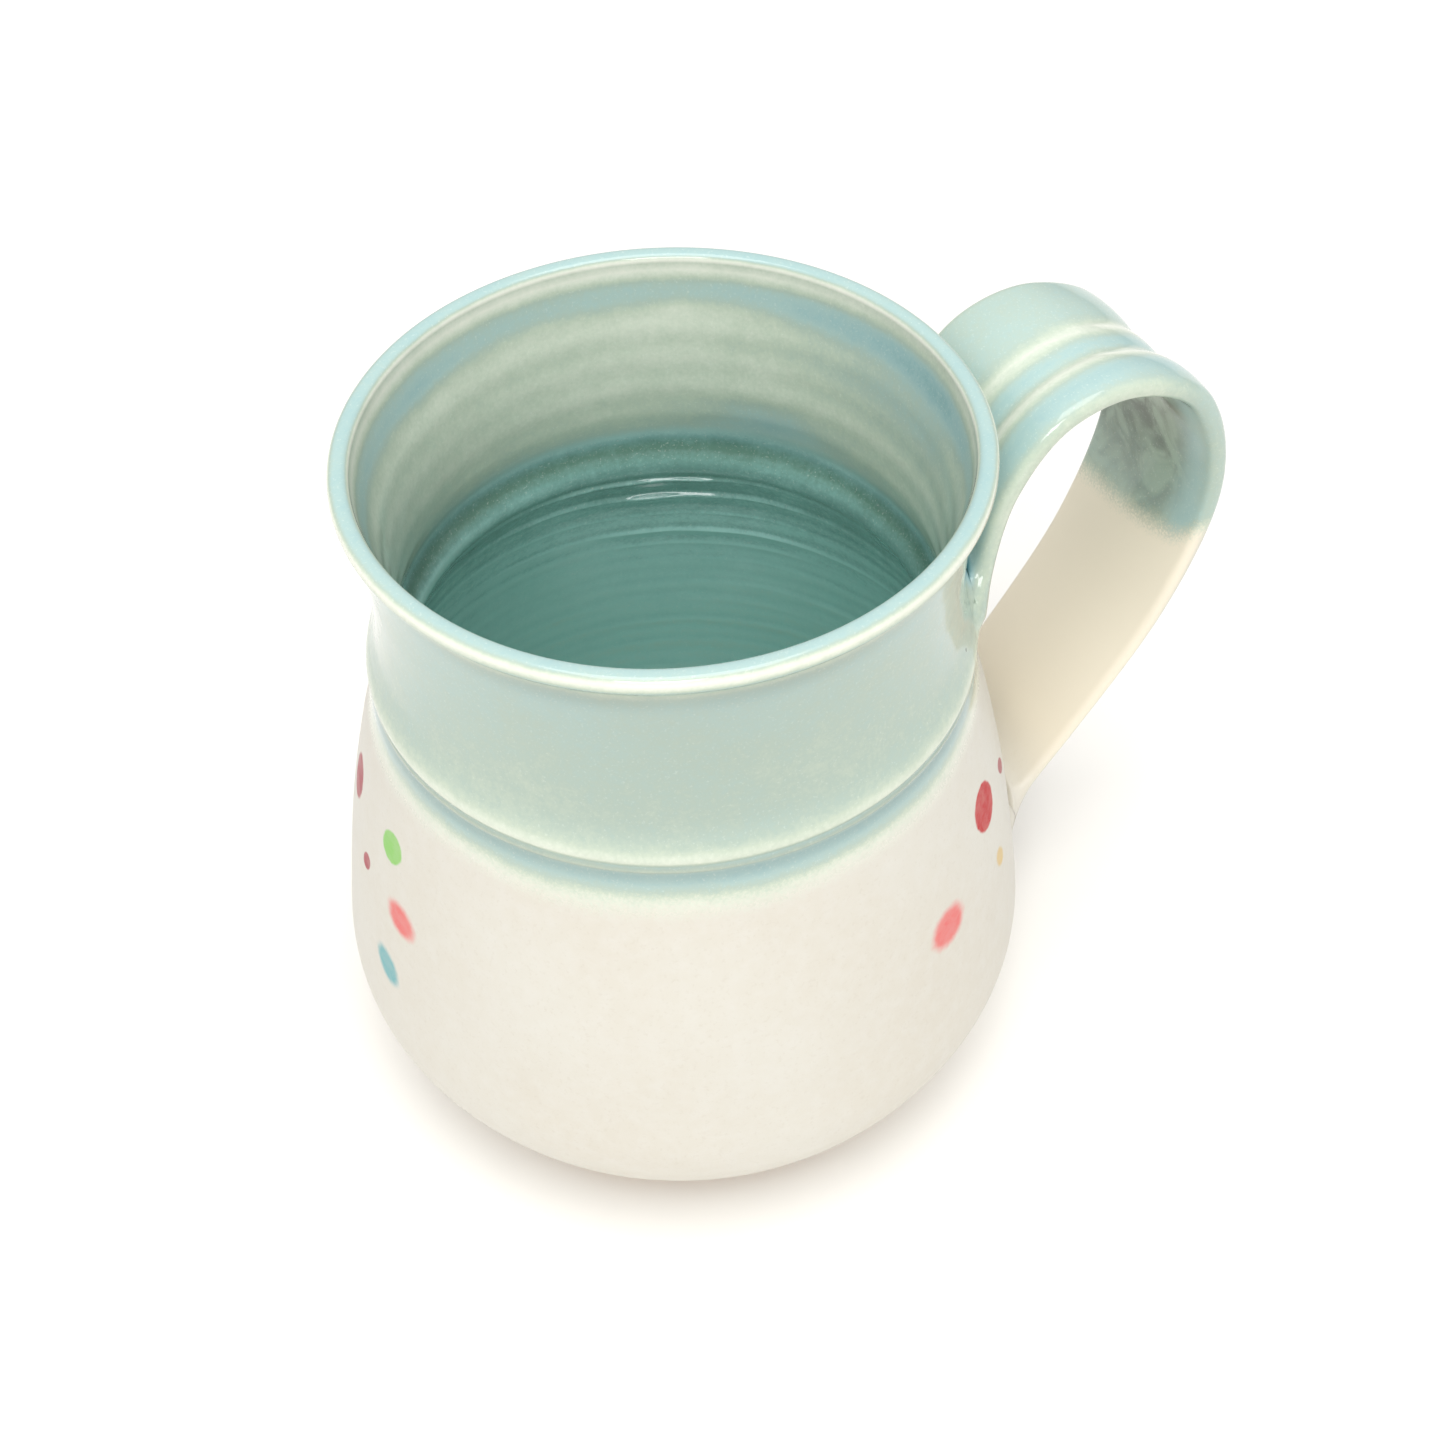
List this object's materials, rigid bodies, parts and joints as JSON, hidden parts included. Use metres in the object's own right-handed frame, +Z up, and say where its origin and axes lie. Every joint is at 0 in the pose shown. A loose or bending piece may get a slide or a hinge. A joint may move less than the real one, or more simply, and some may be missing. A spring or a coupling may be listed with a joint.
{
  "type": "stoneware mug",
  "caption": "Hand-thrown stoneware mug with a waisted collar, a wide low belly and a pulled strap handle, for hot drinks.",
  "frame": {"origin": "centre of the flat foot, on the surface that the mug stands on", "axes": "+Z up through the mouth, +X from the mug's axis towards the handle"},
  "size_m": [0.1276, 0.0982, 0.1037],
  "materials": {
    "cream_stoneware": "satin cream glaze on pale stoneware, with a few iron specks and small painted dots",
    "celadon_glaze": "glossy celadon, blue where it pools and cream where it runs thin over edges"
  },
  "bodies": {
    "root": {"thrown_body": "cream_stoneware", "strap_handle": "celadon_glaze", "upper_slip_join": "celadon_glaze", "lower_slip_join": "cream_stoneware"}
  },
  "joints": []
}
